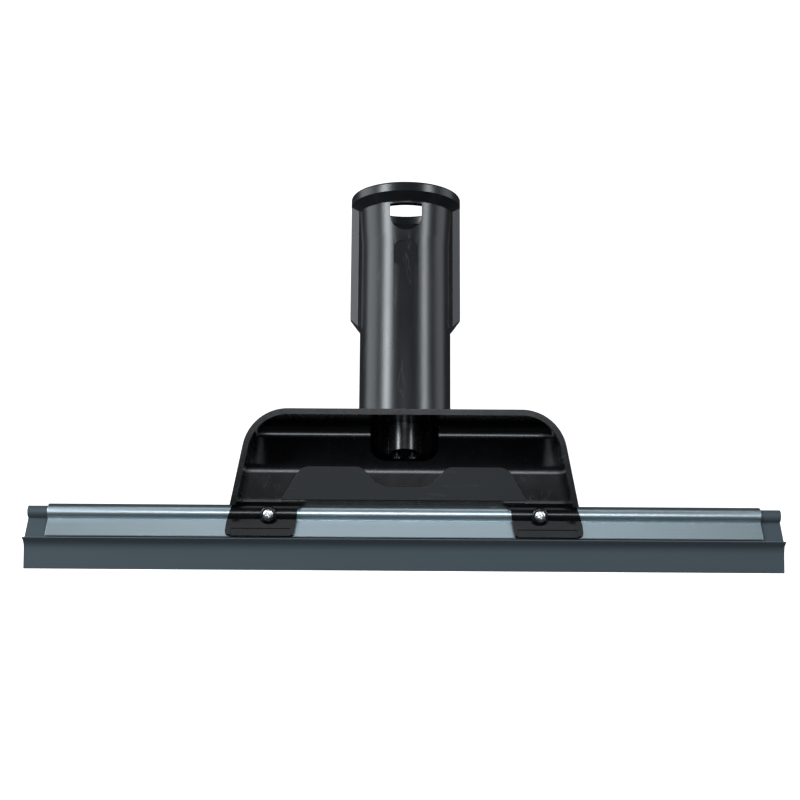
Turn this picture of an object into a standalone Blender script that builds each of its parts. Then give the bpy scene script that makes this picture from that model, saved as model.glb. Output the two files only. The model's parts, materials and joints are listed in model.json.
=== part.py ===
"""Window cleaning squeegee for a steam cleaner.

Frame: +X along the blade, -Y towards the glass, +Z up, wiping edge at z = 0.
The socket tube leans back from the blade, so its pieces hang on the tube_axis empty,
whose origin is the centre of the tube's mouth and whose +Z points out of the mouth.
"""
import bpy
import bmesh
from math import acos, atan2, ceil, cos, pi, radians, sin, sqrt, tan
from mathutils import Euler, Matrix, Vector

GAP = 0.0003                  # clearance between pieces that touch on the real object

# --- rail and rubber blade --------------------------------------------------
BEAD_Y = -0.0225              # centre of the rail's round bead
BEAD_Z = 0.0216
BLADE_SLOPE = radians(39)     # the web leans this far towards the glass, going down
WEB_SHIFT = 0.0016            # the web's middle lies this far behind the bead's centre
RAIL_LENGTH = 0.280
RAIL_BEAD_R = 0.00325
RAIL_BORE_R = 0.0027
SLOT_WIDTH = 0.0018
FLANGE_THICK = 0.0008
FLANGE_END = 0.01105           # along the web, from the bead's centre
REAR_LIP_THICK = 0.0006
REAR_LIP_END = 0.0058
RUBBER_LENGTH = 0.296
RUBBER_BEAD_R = 0.0024
WEB_THICK = 0.0012
WEB_END = 0.01065
LIP_THICK_TOP = 0.0017         # the lip flexes about the middle of its rounded top
LIP_THICK_EDGE = 0.0010
LIP_SLOPE = radians(5)
RIDGE_REACH = 0.0038
RIDGE_THICK = 0.0010

# --- coupling tube, measured along its own axis, 0 at the mouth -------------
MOUTH_Y = BEAD_Y + 0.0330
MOUTH_Z = 0.1500
LEAN = radians(11.65)
TUBE_R = 0.0185
COLLAR_R = 0.0226
COLLAR_HEIGHT = 0.0042
FLARE_R = 0.0193
FLARE_TOP = -0.0071
FLARE_BOTTOM = -0.0205
MOUTH_R = 0.0200
MOUTH_LOW = -0.0036           # straight down to here, then a cone to the bore
CONE_LOW = -0.0082
MOUTH_CHAMFER = 0.0006
COLLAR_CHAMFER = 0.0007
BORE_R = 0.0162
LEDGE_R = 0.0148
LEDGE_Z = -0.0615
FLOOR_TOP = -0.0904
TUBE_BOTTOM = -0.0930
KEY_WIDTH = 0.0090
KEY_TOP = -0.0030
KEY_ROOT_TOP = -0.0100
KEY_BOTTOM = -0.0520
KEY_CHAMFER = 0.0046
WINDOW_WIDTH = 0.0128
WINDOW_TOP = -0.0080
WINDOW_BOTTOM = -0.0191
DISC_Z = -0.0289
DISC_R = 0.0058
DISC_DEPTH = 0.0006

# --- steam pipe and nozzle, along the same axis -----------------------------
RECEIVER_TOP = -0.0380
RECEIVER_R = 0.0085
RECEIVER_BORE_R = 0.0062
RECEIVER_FLOOR = -0.0570
RECEIVER_CHAMFER = 0.0006
RECEIVER_TAIL = 0.0040        # below the flange, then a cone of the same length
PIPE_FLANGE_THICK = 0.0030
PIPE_R = 0.0048
PIPE_BORE_R = 0.0034
PIPE_BOTTOM = -0.0985
NOZZLE_R = 0.0062
NOZZLE_FLANGE_R = 0.0078
NOZZLE_FLANGE_THICK = 0.0018
NOZZLE_END = -0.1079          # where the slanting end face crosses the axis
NOZZLE_CUT = radians(15)      # slope of the end face against a square end
NOZZLE_ROOF = -0.1005         # of the chamber above the outlets
OUTLET_WIDTH = 0.0039
OUTLET_SPACING = 0.0062
OUTLET_BACK = 0.0012          # centres of the outlets' round ends, behind and in front of the axis
OUTLET_FRONT = -0.0022
HOLE_CLEARANCE = 0.0004

# --- hood ------------------------------------------------------------------
WALL = 0.0023
HOOD_TOP = 0.0631
HOOD_BOTTOM = 0.0180          # of the rear wall
HOOD_SIDE_BOTTOM = 0.0253     # of the side walls, which stand on the ears
HOOD_FRONT = BEAD_Y - 0.0070
HOOD_REAR_LOW = BEAD_Y + 0.0078
HOOD_KNEE = 0.0386            # the rear wall is upright below this, and leans back above it
HOOD_KNEE_R = 0.0060
HOOD_REAR_LEAN = radians(29)
HOOD_BACK_R = 0.0070
HOOD_HALF_TOP = 0.0601        # half width where side and top lines cross
HOOD_HALF_LOW = 0.0696
HOOD_CORNER_R = 0.0180
SPINE_R = 0.0165
SPINE_BORE_R = 0.0138
SPINE_END = -0.1132
SEAT_THICK = 0.0030
SEAT_TAPER = 0.0018
EAR_INNER = 0.0420
EAR_BORE_R = RAIL_BEAD_R + GAP
EAR_R = 0.00445
TAB_OUTER = 0.0700
TAB_THICK = 0.0013
TAB_END = 0.0115
TAB_CHAMFER = 0.0004
RAIL_WAY_END = 0.0200
SCREW_X = 0.0531

# --- baffle panel ------------------------------------------------------------
PANEL_THICK = 0.0012
PANEL_GAP = 0.0006
PANEL_TOP = 0.0400
PANEL_BOTTOM = 0.0266
PANEL_DIP = 0.0321
PANEL_HALF_LOW = 0.0488
PANEL_HALF_TOP = 0.0410
SCOOP_HALF_LOW = 0.0095
SCOOP_HALF_TOP = 0.0175
PEG_X = 0.0300
PEG_R = 0.0012
PEG_UP = 0.0060                # above the panel's bottom edge

# --- clamp screws -----------------------------------------------------------
HEAD_R = 0.0021
HEAD_THICK = 0.0013
HEAD_CHAMFER = 0.0006
SHANK_R = 0.0010
CROSS_HALF = 0.0011
CROSS_WIDTH = 0.0005
CROSS_DEPTH = 0.0006
POINT_R = 0.00025
POINT_LENGTH = 0.0006
POINT_CLEARANCE = 0.0004      # between the screw's point and the rubber bead
BOSS_R = 0.0032
BOSS_FRONT = 0.0058           # in front of the bead's centre
HEAD_SEAT = 0.0048

ARC_STEP = radians(12)

parts = None
cutters = None


def start_scene():
    """Empty the scene and make the two collections."""
    global parts, cutters
    for old in list(bpy.data.objects):
        bpy.data.objects.remove(old, do_unlink=True)
    parts = bpy.data.collections.new("window_squeegee")
    cutters = bpy.data.collections.new("cutters")
    bpy.context.scene.collection.children.link(parts)
    bpy.context.scene.collection.children.link(cutters)


def material(name, color, roughness, metallic=0.0):
    """A Principled material."""
    made = bpy.data.materials.new(name)
    made.use_nodes = True
    shader = made.node_tree.nodes["Principled BSDF"]
    shader.inputs["Base Color"].default_value = (*color, 1.0)
    shader.inputs["Roughness"].default_value = roughness
    shader.inputs["Metallic"].default_value = metallic
    return made


def place(name, mesh, parent=None, matrix=None, cutter=False):
    """Put a mesh in the scene as a part or as a hidden cutter."""
    obj = bpy.data.objects.new(name, mesh)
    (cutters if cutter else parts).objects.link(obj)
    obj.parent = parent
    if matrix is not None:
        obj.matrix_local = matrix
    if cutter:
        obj.hide_render = True
        obj.display_type = "WIRE"
    bpy.context.view_layer.update()
    return obj


def finish(obj, mat):
    """Give a part its material and smooth shading between sharp edges."""
    obj.data.materials.clear()
    obj.data.materials.append(mat)
    obj.data.shade_smooth()
    obj.data.set_sharp_from_angle(angle=radians(35))
    return obj


def combine(obj, other, operation):
    """Add a Boolean modifier that joins or cuts another mesh object."""
    modifier = obj.modifiers.new(operation.lower() + "_" + other.name, "BOOLEAN")
    modifier.operation = operation
    modifier.object = other
    modifier.solver = "EXACT"
    return obj


def turned(name, profile, segments=64, **where):
    """Turn a closed profile of (radius, height) points round +Z.

    The profile runs down its outer side first, then up its inner side."""
    mesh = bpy.data.meshes.new(name)
    shape = bmesh.new()
    ring = [shape.verts.new((radius, 0, height)) for radius, height in profile]
    for first, second in zip(ring, ring[1:] + ring[:1]):
        shape.edges.new((first, second))
    shape.to_mesh(mesh)
    shape.free()
    obj = place(name, mesh, **where)
    screw = obj.modifiers.new("turn", "SCREW")
    screw.axis = "Z"
    screw.steps = segments
    screw.render_steps = segments
    screw.use_merge_vertices = True
    screw.merge_threshold = 0.00001
    return obj


def cylinder(name, radius, low, high, segments=32, **where):
    """A closed cylinder along +Z from low to high."""
    mesh = bpy.data.meshes.new(name)
    shape = bmesh.new()
    bmesh.ops.create_cone(shape, cap_ends=True, segments=segments, radius1=radius, radius2=radius,
                          depth=high - low, matrix=Matrix.Translation((0, 0, (low + high) / 2)))
    shape.to_mesh(mesh)
    shape.free()
    return place(name, mesh, **where)


def box(name, low, high, **where):
    """A closed box between two corners."""
    low, high = Vector(low), Vector(high)
    size = Matrix.Diagonal((*(high - low), 1))
    mesh = bpy.data.meshes.new(name)
    shape = bmesh.new()
    bmesh.ops.create_cube(shape, size=1.0, matrix=Matrix.Translation((low + high) / 2) @ size)
    shape.to_mesh(mesh)
    shape.free()
    return place(name, mesh, **where)


def rounded(corners):
    """Points of a polygon whose corners (x, y, radius) are rounded off with arcs."""
    points = []
    count = len(corners)
    for i, (x, y, radius) in enumerate(corners):
        here = Vector((x, y))
        if not radius:
            points.append(here)
            continue
        before = (Vector(corners[i - 1][:2]) - here).normalized()
        after = (Vector(corners[(i + 1) % count][:2]) - here).normalized()
        half = acos(max(-1.0, min(1.0, before.dot(after)))) / 2
        centre = here + (before + after).normalized() * (radius / sin(half))
        start = here + before * (radius / tan(half)) - centre
        sweep = (pi - 2 * half) * (1 if before.cross(after) < 0 else -1)
        steps = max(2, ceil(abs(sweep) / ARC_STEP))
        for k in range(steps + 1):
            points.append(centre + Matrix.Rotation(sweep * k / steps, 2) @ start)
    return points


def arc(radius, start, end, centre=(0, 0)):
    """Points on a circle from one angle to another."""
    steps = max(2, ceil(abs(end - start) / ARC_STEP))
    angles = [start + (end - start) * k / steps for k in range(steps + 1)]
    return [Vector((centre[0] + radius * cos(a), centre[1] + radius * sin(a))) for a in angles]


def extruded(name, points, thick, **where):
    """A flat outline in local XY, made as a filled curve as thick as asked, centred on local Z."""
    curve = bpy.data.curves.new(name, "CURVE")
    curve.dimensions = "2D"
    curve.fill_mode = "BOTH"
    curve.extrude = thick / 2
    spline = curve.splines.new("POLY")
    spline.points.add(len(points) - 1)
    spline.use_cyclic_u = True
    for point, (x, y) in zip(spline.points, points):
        point.co = (x, y, 0, 1)
    sketch = bpy.data.objects.new(name + "_outline", curve)
    parts.objects.link(sketch)
    bpy.context.view_layer.update()
    depsgraph = bpy.context.evaluated_depsgraph_get()
    mesh = bpy.data.meshes.new_from_object(sketch.evaluated_get(depsgraph))
    bpy.data.objects.remove(sketch, do_unlink=True)
    shape = bmesh.new()
    shape.from_mesh(mesh)
    bmesh.ops.remove_doubles(shape, verts=shape.verts, dist=0.000005)
    bmesh.ops.recalc_face_normals(shape, faces=shape.faces)
    shape.to_mesh(mesh)
    shape.free()
    mesh.name = name
    return place(name, mesh, **where)


def along_x(x=0.0, y=0.0, z=0.0):
    """Local X, Y, Z become world Y, Z, X: an outline drawn in the side view."""
    return Matrix.Translation((x, y, z)) @ Euler((pi / 2, 0, pi / 2)).to_matrix().to_4x4()


def along_y(x=0.0, y=0.0, z=0.0):
    """Local X, Y, Z become world X, Z, -Y: an outline drawn in the front view."""
    return Matrix.Translation((x, y, z)) @ Euler((pi / 2, 0, 0)).to_matrix().to_4x4()


def web_point(along, aside):
    """Side view point, from the bead's centre: along the web, and aside from it towards the glass."""
    ahead = aside - WEB_SHIFT
    return Vector((-sin(BLADE_SLOPE) * along - cos(BLADE_SLOPE) * ahead,
                   -cos(BLADE_SLOPE) * along + sin(BLADE_SLOPE) * ahead))


def web_angle(radius, aside):
    """Angle, in the side view, where a line parallel to the web leaves a circle round the bead."""
    point = web_point(sqrt(radius ** 2 - (aside - WEB_SHIFT) ** 2), aside)
    return atan2(point.y, point.x) % (2 * pi)


def tube_axis():
    """Empty at the centre of the mouth, +Z out of the mouth."""
    empty = bpy.data.objects.new("tube_axis", None)
    parts.objects.link(empty)
    empty.location = (0, MOUTH_Y, MOUTH_Z)
    empty.rotation_euler = (-LEAN, 0, 0)
    bpy.context.view_layer.update()
    return empty


def make_coupling_tube(axis, mat):
    """Socket tube: collar, flare, latch window, disc recess, side keys and a floor with a hole."""
    hole = NOZZLE_R + HOLE_CLEARANCE
    tube = turned("coupling_tube", [
        (MOUTH_R + MOUTH_CHAMFER, 0), (COLLAR_R - COLLAR_CHAMFER, 0), (COLLAR_R, -COLLAR_CHAMFER),
        (COLLAR_R, -COLLAR_HEIGHT), (FLARE_R, FLARE_TOP), (TUBE_R, FLARE_BOTTOM), (TUBE_R, TUBE_BOTTOM),
        (hole, TUBE_BOTTOM), (hole, FLOOR_TOP), (LEDGE_R, FLOOR_TOP), (LEDGE_R, LEDGE_Z),
        (BORE_R, LEDGE_Z), (BORE_R, CONE_LOW), (MOUTH_R, MOUTH_LOW), (MOUTH_R, -MOUTH_CHAMFER)],
        segments=72, parent=axis)
    inner = BORE_R + 0.001
    for side in (-1, 1):
        key = extruded("key_left" if side < 0 else "key_right", [
            (side * inner, KEY_BOTTOM - KEY_CHAMFER),
            (side * (TUBE_R + 0.0001), KEY_BOTTOM - KEY_CHAMFER),
            (side * (COLLAR_R - 0.0001), KEY_BOTTOM),
            (side * (COLLAR_R - 0.0001), KEY_TOP),
            (side * (MOUTH_R + 0.0012), KEY_TOP),
            (side * inner, KEY_ROOT_TOP)], KEY_WIDTH,
            parent=axis, matrix=along_y(), cutter=True)
        combine(tube, key, "UNION")
    half = WINDOW_WIDTH / 2
    window_outline = [(-half, WINDOW_TOP), *arc(half, pi, 2 * pi, (0, WINDOW_BOTTOM + half)),
                      (half, WINDOW_TOP)]
    window = extruded("latch_window", window_outline, 0.016,
                      parent=axis, matrix=along_y(y=-TUBE_R), cutter=True)
    combine(tube, window, "DIFFERENCE")
    disc = cylinder("disc_recess", DISC_R, TUBE_R - DISC_DEPTH, TUBE_R + 0.004,
                    parent=axis, matrix=along_y(z=DISC_Z), cutter=True)
    combine(tube, disc, "DIFFERENCE")
    return finish(tube, mat)


def make_steam_pipe(axis, mat):
    """Inner pipe: receiver for the steam gun's spigot, a flange on the tube's ledge, and a tail."""
    flange_low = LEDGE_Z + GAP
    flange_high = flange_low + PIPE_FLANGE_THICK
    tail_low = flange_low - RECEIVER_TAIL
    pipe = turned("steam_pipe", [
        (RECEIVER_BORE_R + RECEIVER_CHAMFER, RECEIVER_TOP), (RECEIVER_R, RECEIVER_TOP),
        (RECEIVER_R, flange_high), (BORE_R - GAP, flange_high), (BORE_R - GAP, flange_low),
        (RECEIVER_R, flange_low),
        (RECEIVER_R, tail_low), (PIPE_R, tail_low - RECEIVER_TAIL), (PIPE_R, PIPE_BOTTOM),
        (PIPE_BORE_R, PIPE_BOTTOM), (PIPE_BORE_R, RECEIVER_FLOOR), (RECEIVER_BORE_R, RECEIVER_FLOOR),
        (RECEIVER_BORE_R, RECEIVER_TOP - RECEIVER_CHAMFER)], segments=40, parent=axis)
    return finish(pipe, mat)


def make_steam_nozzle(axis, mat):
    """Nozzle with a top flange, a slanting end face and two outlets side by side."""
    flange_low = FLOOR_TOP + GAP
    flange_high = flange_low + NOZZLE_FLANGE_THICK
    sleeve = PIPE_R + GAP
    nozzle = turned("steam_nozzle", [
        (sleeve, flange_high), (NOZZLE_FLANGE_R, flange_high), (NOZZLE_FLANGE_R, flange_low),
        (NOZZLE_R, flange_low), (NOZZLE_R, NOZZLE_END - 0.004), (0, NOZZLE_END - 0.004),
        (0, NOZZLE_ROOF), (sleeve, NOZZLE_ROOF)], segments=40, parent=axis)
    slant = Matrix.Translation((0, 0, NOZZLE_END)) @ Matrix.Rotation(-NOZZLE_CUT, 4, "X")
    below = box("nozzle_end_cut", (-0.02, -0.02, -0.03), (0.02, 0.02, 0),
                parent=axis, matrix=slant, cutter=True)
    combine(nozzle, below, "DIFFERENCE")
    half = OUTLET_WIDTH / 2
    for side in (-1, 1):
        centre = side * OUTLET_SPACING / 2
        outline = [*arc(half, 0, pi, (centre, OUTLET_BACK)),
                   *arc(half, pi, 2 * pi, (centre, OUTLET_FRONT))]
        outlet = extruded("outlet_left" if side < 0 else "outlet_right", outline, 0.030,
                          parent=axis, cutter=True,
                          matrix=Matrix.Translation((0, 0, PIPE_BOTTOM - 0.0160)))
        combine(nozzle, outlet, "DIFFERENCE")
    return finish(nozzle, mat)


def hood_block(name, inset, front, bottom, side_bottom):
    """Where the hood's front outline and its side outline, drawn inwards by inset, cross.

    The side walls reach down to side_bottom and the rear wall to bottom."""
    slope = (HOOD_HALF_LOW - HOOD_HALF_TOP) / (HOOD_TOP - HOOD_BOTTOM)
    top = HOOD_TOP - inset
    corner = HOOD_CORNER_R - inset
    half_top = HOOD_HALF_TOP + slope * inset - inset * sqrt(1 + slope ** 2)
    half_low = half_top + slope * (top - bottom)
    width = extruded(name, rounded([
        (-half_low, bottom, 0), (half_low, bottom, 0),
        (half_top, top, corner), (-half_top, top, corner)]), 0.12, matrix=along_y(), cutter=True)
    rear = HOOD_REAR_LOW - inset
    knee = HOOD_KNEE + inset * tan(HOOD_REAR_LEAN / 2)
    lid = HOOD_TOP - inset / cos(LEAN)
    back = (rear + tan(HOOD_REAR_LEAN) * (lid + HOOD_FRONT * tan(LEAN) - knee)) / (
        1 + tan(HOOD_REAR_LEAN) * tan(LEAN))
    back_top = lid - (back - HOOD_FRONT) * tan(LEAN)
    notch = min(rear - 0.0002, BEAD_Y + 0.0042)
    side = extruded(name + "_side", rounded([
        (front, side_bottom, 0), (notch, side_bottom, 0), (notch, bottom, 0),
        (rear, bottom, 0), (rear, knee, HOOD_KNEE_R + inset), (back, back_top, HOOD_BACK_R - inset),
        (front, back_top + (back - front) * tan(LEAN), 0)]), 0.2, matrix=along_x(), cutter=True)
    combine(width, side, "INTERSECT")
    return width


def ear_outline():
    """Side view of an ear: a block round the rail's bead with a tab in front of the flange."""
    tab_in = SLOT_WIDTH / 2 + FLANGE_THICK + GAP
    tab_out = tab_in + TAB_THICK
    wall_in = HOOD_REAR_LOW - BEAD_Y - WALL + 0.0006
    return [Vector((wall_in, EAR_R)), *arc(EAR_R, pi / 2, web_angle(EAR_R, tab_out)),
            web_point(TAB_END - TAB_CHAMFER, tab_out), web_point(TAB_END, tab_out - TAB_CHAMFER),
            web_point(TAB_END, tab_in - 0.0002), web_point(0, tab_in - 0.0002),
            Vector((wall_in, -0.0015))]


def rail_way_outline():
    """Side view of the space that the ears leave for the rail, open downwards."""
    front = SLOT_WIDTH / 2 + FLANGE_THICK + GAP
    rear = SLOT_WIDTH / 2 + REAR_LIP_THICK + GAP
    start = web_angle(EAR_BORE_R, -rear) - 2 * pi
    return [*arc(EAR_BORE_R, start, web_angle(EAR_BORE_R, front)),
            web_point(RAIL_WAY_END, front), web_point(RAIL_WAY_END, -rear)]


def make_hood(axis, mat):
    """Steam hood: a shell open to the glass and below, a spine round the nozzle, and two ears."""
    hood = hood_block("hood", 0, HOOD_FRONT, HOOD_BOTTOM, HOOD_SIDE_BOTTOM)
    cutters.objects.unlink(hood)
    parts.objects.link(hood)
    hood.hide_render = False
    hood.display_type = "TEXTURED"
    seat_top = TUBE_BOTTOM - GAP
    spine = turned("spine", [
        (0, seat_top), (TUBE_R, seat_top), (TUBE_R, seat_top - SEAT_THICK),
        (SPINE_R, seat_top - SEAT_THICK - SEAT_TAPER), (SPINE_R, SPINE_END + 0.007),
        (SPINE_R - 0.002, SPINE_END + 0.0025), (SPINE_R - 0.007, SPINE_END), (0, SPINE_END)],
        segments=56, parent=axis, cutter=True)
    combine(hood, spine, "UNION")
    cavity = hood_block("hood_cavity", WALL, HOOD_FRONT - 0.02, HOOD_BOTTOM - 0.01,
                        HOOD_BOTTOM - 0.012)
    combine(hood, cavity, "DIFFERENCE")
    alcove_top = seat_top - SEAT_THICK
    alcove = turned("alcove", [
        (0, alcove_top), (SPINE_BORE_R, alcove_top), (SPINE_BORE_R, SPINE_END + 0.008),
        (SPINE_BORE_R - 0.002, SPINE_END + 0.0045), (SPINE_BORE_R - 0.007, SPINE_END + WALL),
        (0, SPINE_END + WALL)], segments=56, parent=axis, cutter=True)
    combine(hood, alcove, "DIFFERENCE")
    drop = cylinder("nozzle_hole", NOZZLE_R + HOLE_CLEARANCE, alcove_top - 0.004, seat_top + 0.004,
                    parent=axis, cutter=True)
    combine(hood, drop, "DIFFERENCE")
    outline = ear_outline()
    for side in (-1, 1):
        label = "left" if side < 0 else "right"
        ear = extruded("ear_" + label, outline, TAB_OUTER - EAR_INNER,
                       matrix=along_x(side * (TAB_OUTER + EAR_INNER) / 2, BEAD_Y, BEAD_Z), cutter=True)
        combine(hood, ear, "UNION")
        boss = cylinder("boss_" + label, BOSS_R, 0.0038, BOSS_FRONT, 28,
                        matrix=along_y(side * SCREW_X, BEAD_Y, BEAD_Z), cutter=True)
        combine(hood, boss, "UNION")
    rail_way = extruded("rail_way", rail_way_outline(), 0.2,
                        matrix=along_x(0, BEAD_Y, BEAD_Z), cutter=True)
    combine(hood, rail_way, "DIFFERENCE")
    for side in (-1, 1):
        label = "left" if side < 0 else "right"
        pocket = cylinder("head_pocket_" + label, HEAD_R + GAP, HEAD_SEAT, BOSS_FRONT + 0.004, 28,
                          matrix=along_y(side * SCREW_X, BEAD_Y, BEAD_Z), cutter=True)
        combine(hood, pocket, "DIFFERENCE")
        bore = cylinder("screw_hole_" + label, SHANK_R + GAP, 0.0030, BOSS_FRONT, 20,
                        matrix=along_y(side * SCREW_X, BEAD_Y, BEAD_Z), cutter=True)
        combine(hood, bore, "DIFFERENCE")
        peg_hole = cylinder("peg_hole_" + label, PEG_R + GAP, -0.012, 0, 20,
                            matrix=along_y(side * PEG_X, BEAD_Y, PANEL_BOTTOM + PEG_UP), cutter=True)
        combine(hood, peg_hole, "DIFFERENCE")
    return finish(hood, mat)


def make_baffle_panel(mat):
    """Flat panel low in the hood, its top edge scooped under the nozzle, on two pegs."""
    face = HOOD_REAR_LOW - WALL - PANEL_GAP - PANEL_THICK / 2
    panel = extruded("baffle_panel", rounded([
        (-PANEL_HALF_LOW, PANEL_BOTTOM, 0.0005), (PANEL_HALF_LOW, PANEL_BOTTOM, 0.0005),
        (PANEL_HALF_TOP, PANEL_TOP, 0.006), (SCOOP_HALF_TOP, PANEL_TOP, 0.004),
        (SCOOP_HALF_LOW, PANEL_DIP, 0.010), (-SCOOP_HALF_LOW, PANEL_DIP, 0.010),
        (-SCOOP_HALF_TOP, PANEL_TOP, 0.004), (-PANEL_HALF_TOP, PANEL_TOP, 0.006)]),
        PANEL_THICK, matrix=along_y(y=face))
    for side in (-1, 1):
        peg = cylinder("peg_left" if side < 0 else "peg_right", PEG_R,
                       -PANEL_THICK / 2 - PANEL_GAP - WALL, 0.0002, 20,
                       matrix=along_y(side * PEG_X, face, PANEL_BOTTOM + PEG_UP), cutter=True)
        combine(panel, peg, "UNION")
    return finish(panel, mat)


def make_rail(mat):
    """Aluminium rail: a slotted round bead that holds the rubber, a front flange and a rear lip."""
    inner = SLOT_WIDTH / 2
    front = inner + FLANGE_THICK
    rear = inner + REAR_LIP_THICK
    start = web_angle(RAIL_BEAD_R, -rear) - 2 * pi
    end = web_angle(RAIL_BEAD_R, front)
    outline = [*arc(RAIL_BEAD_R, start, end), web_point(FLANGE_END, front), web_point(FLANGE_END, inner),
               *arc(RAIL_BORE_R, web_angle(RAIL_BORE_R, inner), web_angle(RAIL_BORE_R, -inner) - 2 * pi),
               web_point(REAR_LIP_END, -inner), web_point(REAR_LIP_END, -rear)]
    rail = extruded("squeegee_rail", outline, RAIL_LENGTH, matrix=along_x(0, BEAD_Y, BEAD_Z))
    for side in (-1, 1):
        label = "left" if side < 0 else "right"
        hole = cylinder("rail_hole_" + label, SHANK_R + GAP, 0.0018, 0.006, 20,
                        matrix=along_y(side * SCREW_X, BEAD_Y, BEAD_Z), cutter=True)
        combine(rail, hole, "DIFFERENCE")
    return finish(rail, mat)


def make_blade_strip(mat):
    """Rubber bead and web, held in the rail."""
    half = WEB_THICK / 2
    start = web_angle(RUBBER_BEAD_R, -half) - 2 * pi
    outline = [*arc(RUBBER_BEAD_R, start, web_angle(RUBBER_BEAD_R, half)),
               web_point(WEB_END, half), web_point(WEB_END, -half)]
    strip = extruded("blade_strip", outline, RUBBER_LENGTH, matrix=along_x(0, BEAD_Y, BEAD_Z))
    return finish(strip, mat)


def make_blade_lip(mat):
    """Ridge and wiping lip; the object's origin is on the line that the lip flexes about."""
    half = LIP_THICK_TOP / 2
    y, z = web_point(WEB_END + GAP + half, 0)
    root = Vector((0, BEAD_Y + y, BEAD_Z + z))
    edge = -root.z
    drift = tan(LIP_SLOPE) * edge
    outline = [*arc(half, 0, radians(100)), Vector((-RIDGE_REACH + 0.0003, half + 0.0003)),
               Vector((-RIDGE_REACH, half)), Vector((-RIDGE_REACH + 0.0003, half + 0.0003 - RIDGE_THICK)),
               Vector((-half - 0.0009, -0.0004)), Vector((-half, -0.0016)),
               Vector((drift - LIP_THICK_EDGE / 2, edge)), Vector((drift + LIP_THICK_EDGE / 2, edge))]
    lip = extruded("blade_lip", outline, RUBBER_LENGTH, matrix=along_x(*root))
    return finish(lip, mat)


def make_clamp_screw(side, mat):
    """Round head with a cross recess, and a pointed shank from the ear into the rail."""
    label = "left" if side < 0 else "right"
    head_back = HEAD_SEAT + GAP
    where = along_y(side * SCREW_X, BEAD_Y, BEAD_Z)
    head_front = head_back + HEAD_THICK
    tip = RUBBER_BEAD_R + POINT_CLEARANCE
    screw = turned("clamp_screw_" + label, [
        (0, head_front), (HEAD_R - HEAD_CHAMFER, head_front), (HEAD_R, head_front - HEAD_CHAMFER),
        (HEAD_R, head_back), (SHANK_R, head_back), (SHANK_R, tip + POINT_LENGTH), (POINT_R, tip),
        (0, tip)], segments=28, matrix=where)
    for turn in (0, 90):
        slot = box("cross_%s_%d" % (label, turn), (-CROSS_HALF, -CROSS_WIDTH / 2, head_front - CROSS_DEPTH),
                   (CROSS_HALF, CROSS_WIDTH / 2, head_front + CROSS_DEPTH),
                   matrix=where @ Matrix.Rotation(radians(turn), 4, "Z"), cutter=True)
        combine(screw, slot, "DIFFERENCE")
    return finish(screw, mat)


def main():
    start_scene()
    axis = tube_axis()
    make_coupling_tube(axis, material("satin_black_plastic", (0.030, 0.033, 0.038), 0.42))
    make_steam_pipe(axis, material("grey_plastic", (0.10, 0.10, 0.11), 0.5))
    make_steam_nozzle(axis, material("nozzle_plastic", (0.012, 0.013, 0.015), 0.3))
    make_hood(axis, material("gloss_black_plastic", (0.006, 0.006, 0.008), 0.18))
    make_baffle_panel(material("panel_plastic", (0.035, 0.040, 0.046), 0.45))
    make_rail(material("anodised_aluminium", (0.55, 0.62, 0.66), 0.3, 1.0))
    make_blade_strip(material("rubber", (0.072, 0.092, 0.108), 0.6))
    make_blade_lip(material("lip_rubber", (0.072, 0.092, 0.108), 0.6))
    steel = material("zinc_steel", (0.75, 0.76, 0.78), 0.25, 1.0)
    make_clamp_screw(-1, steel)
    make_clamp_screw(1, steel)


main()
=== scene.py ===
"""Looks of the window squeegee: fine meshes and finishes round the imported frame.

Lengths are in metres, +X along the blade, -Y towards the glass and +Z up. The places of the
mouth, the lip's root and the screws come from the frame; the shapes round them are given here.
"""
import json
from math import acos, atan2, ceil, cos, hypot, pi, radians, sin, sqrt, tan

import bmesh
import bpy
from mathutils import Euler, Matrix, Vector


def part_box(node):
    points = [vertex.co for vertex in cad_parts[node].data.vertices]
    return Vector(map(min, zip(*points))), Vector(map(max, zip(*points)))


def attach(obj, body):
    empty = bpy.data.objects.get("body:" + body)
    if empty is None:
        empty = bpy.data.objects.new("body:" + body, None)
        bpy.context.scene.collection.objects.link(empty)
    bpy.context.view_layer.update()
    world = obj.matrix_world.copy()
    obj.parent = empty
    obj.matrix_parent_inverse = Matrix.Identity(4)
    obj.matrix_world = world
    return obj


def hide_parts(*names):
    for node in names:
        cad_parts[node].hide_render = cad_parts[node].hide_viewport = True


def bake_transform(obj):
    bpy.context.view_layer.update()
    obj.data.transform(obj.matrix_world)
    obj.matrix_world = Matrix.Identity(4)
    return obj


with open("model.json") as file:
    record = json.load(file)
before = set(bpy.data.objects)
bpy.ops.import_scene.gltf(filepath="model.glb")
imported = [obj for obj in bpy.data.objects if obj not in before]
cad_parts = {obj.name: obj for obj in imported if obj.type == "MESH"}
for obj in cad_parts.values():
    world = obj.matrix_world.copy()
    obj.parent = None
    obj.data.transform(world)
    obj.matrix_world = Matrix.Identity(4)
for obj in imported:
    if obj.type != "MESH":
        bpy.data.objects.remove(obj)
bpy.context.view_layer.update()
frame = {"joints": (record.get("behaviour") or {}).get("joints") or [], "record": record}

MM = 0.001
ARC_STEP = radians(5)

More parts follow.
